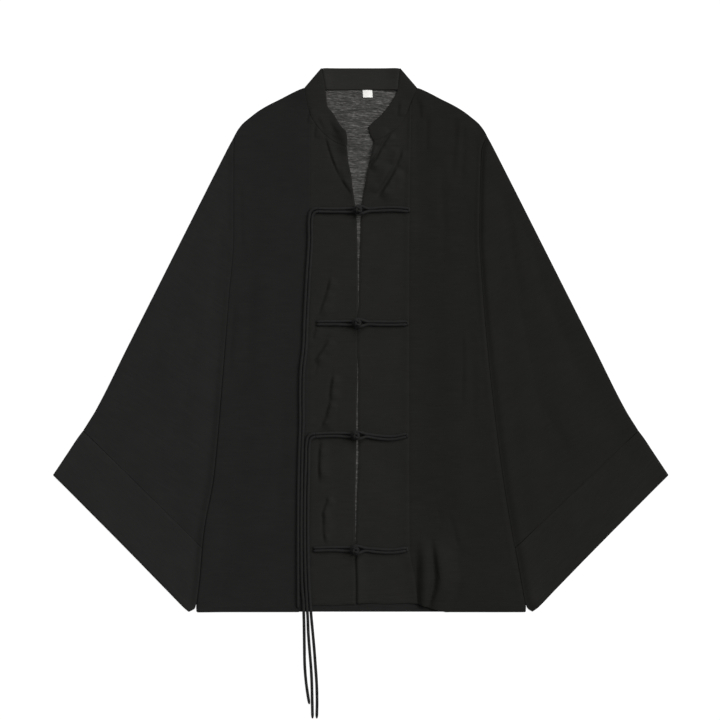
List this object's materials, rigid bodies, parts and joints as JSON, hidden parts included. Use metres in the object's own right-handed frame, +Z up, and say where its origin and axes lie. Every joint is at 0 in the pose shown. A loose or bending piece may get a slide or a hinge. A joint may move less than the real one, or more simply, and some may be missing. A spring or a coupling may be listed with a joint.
{
  "type": "kimono-style jacket laid flat",
  "caption": "Wide cloth jacket laid flat, front up: stand collar, knotted frog closures with long cord tails, and wide sleeves joined down the whole side, with cuff bands.",
  "frame": {"origin": "on the surface that the jacket lies on, below the middle of its outline without the free cord tails", "axes": "+X across the jacket to the wearer's left, +Y from hem to collar, +Z up from the surface through the back to the front"},
  "size_m": [0.8622, 0.91, 0.0214],
  "materials": {
    "cloth": "matte slubbed plain weave",
    "inside": "thin matte weave with slubs across",
    "cord": "matte round cord of the same cloth",
    "label": "smooth satin tape"
  },
  "bodies": {
    "root": {"back": "inside", "front_right": "cloth", "front_left": "cloth", "front_band_right": "cloth", "front_band_left": "cloth", "sleeve_right": "cloth", "sleeve_left": "cloth", "cuff_right": "cloth", "cuff_left": "cloth", "collar": "cloth", "size_label": "label", "button_knot_1": "cord", "button_knot_2": "cord", "button_knot_3": "cord", "button_knot_4": "cord", "button_loop_1": "cord", "button_loop_2": "cord", "button_loop_3": "cord", "button_loop_4": "cord", "cord_tail_1": "cord", "cord_tail_2": "cord", "cord_tail_3": "cord", "cord_tail_4": "cord"}
  },
  "joints": []
}
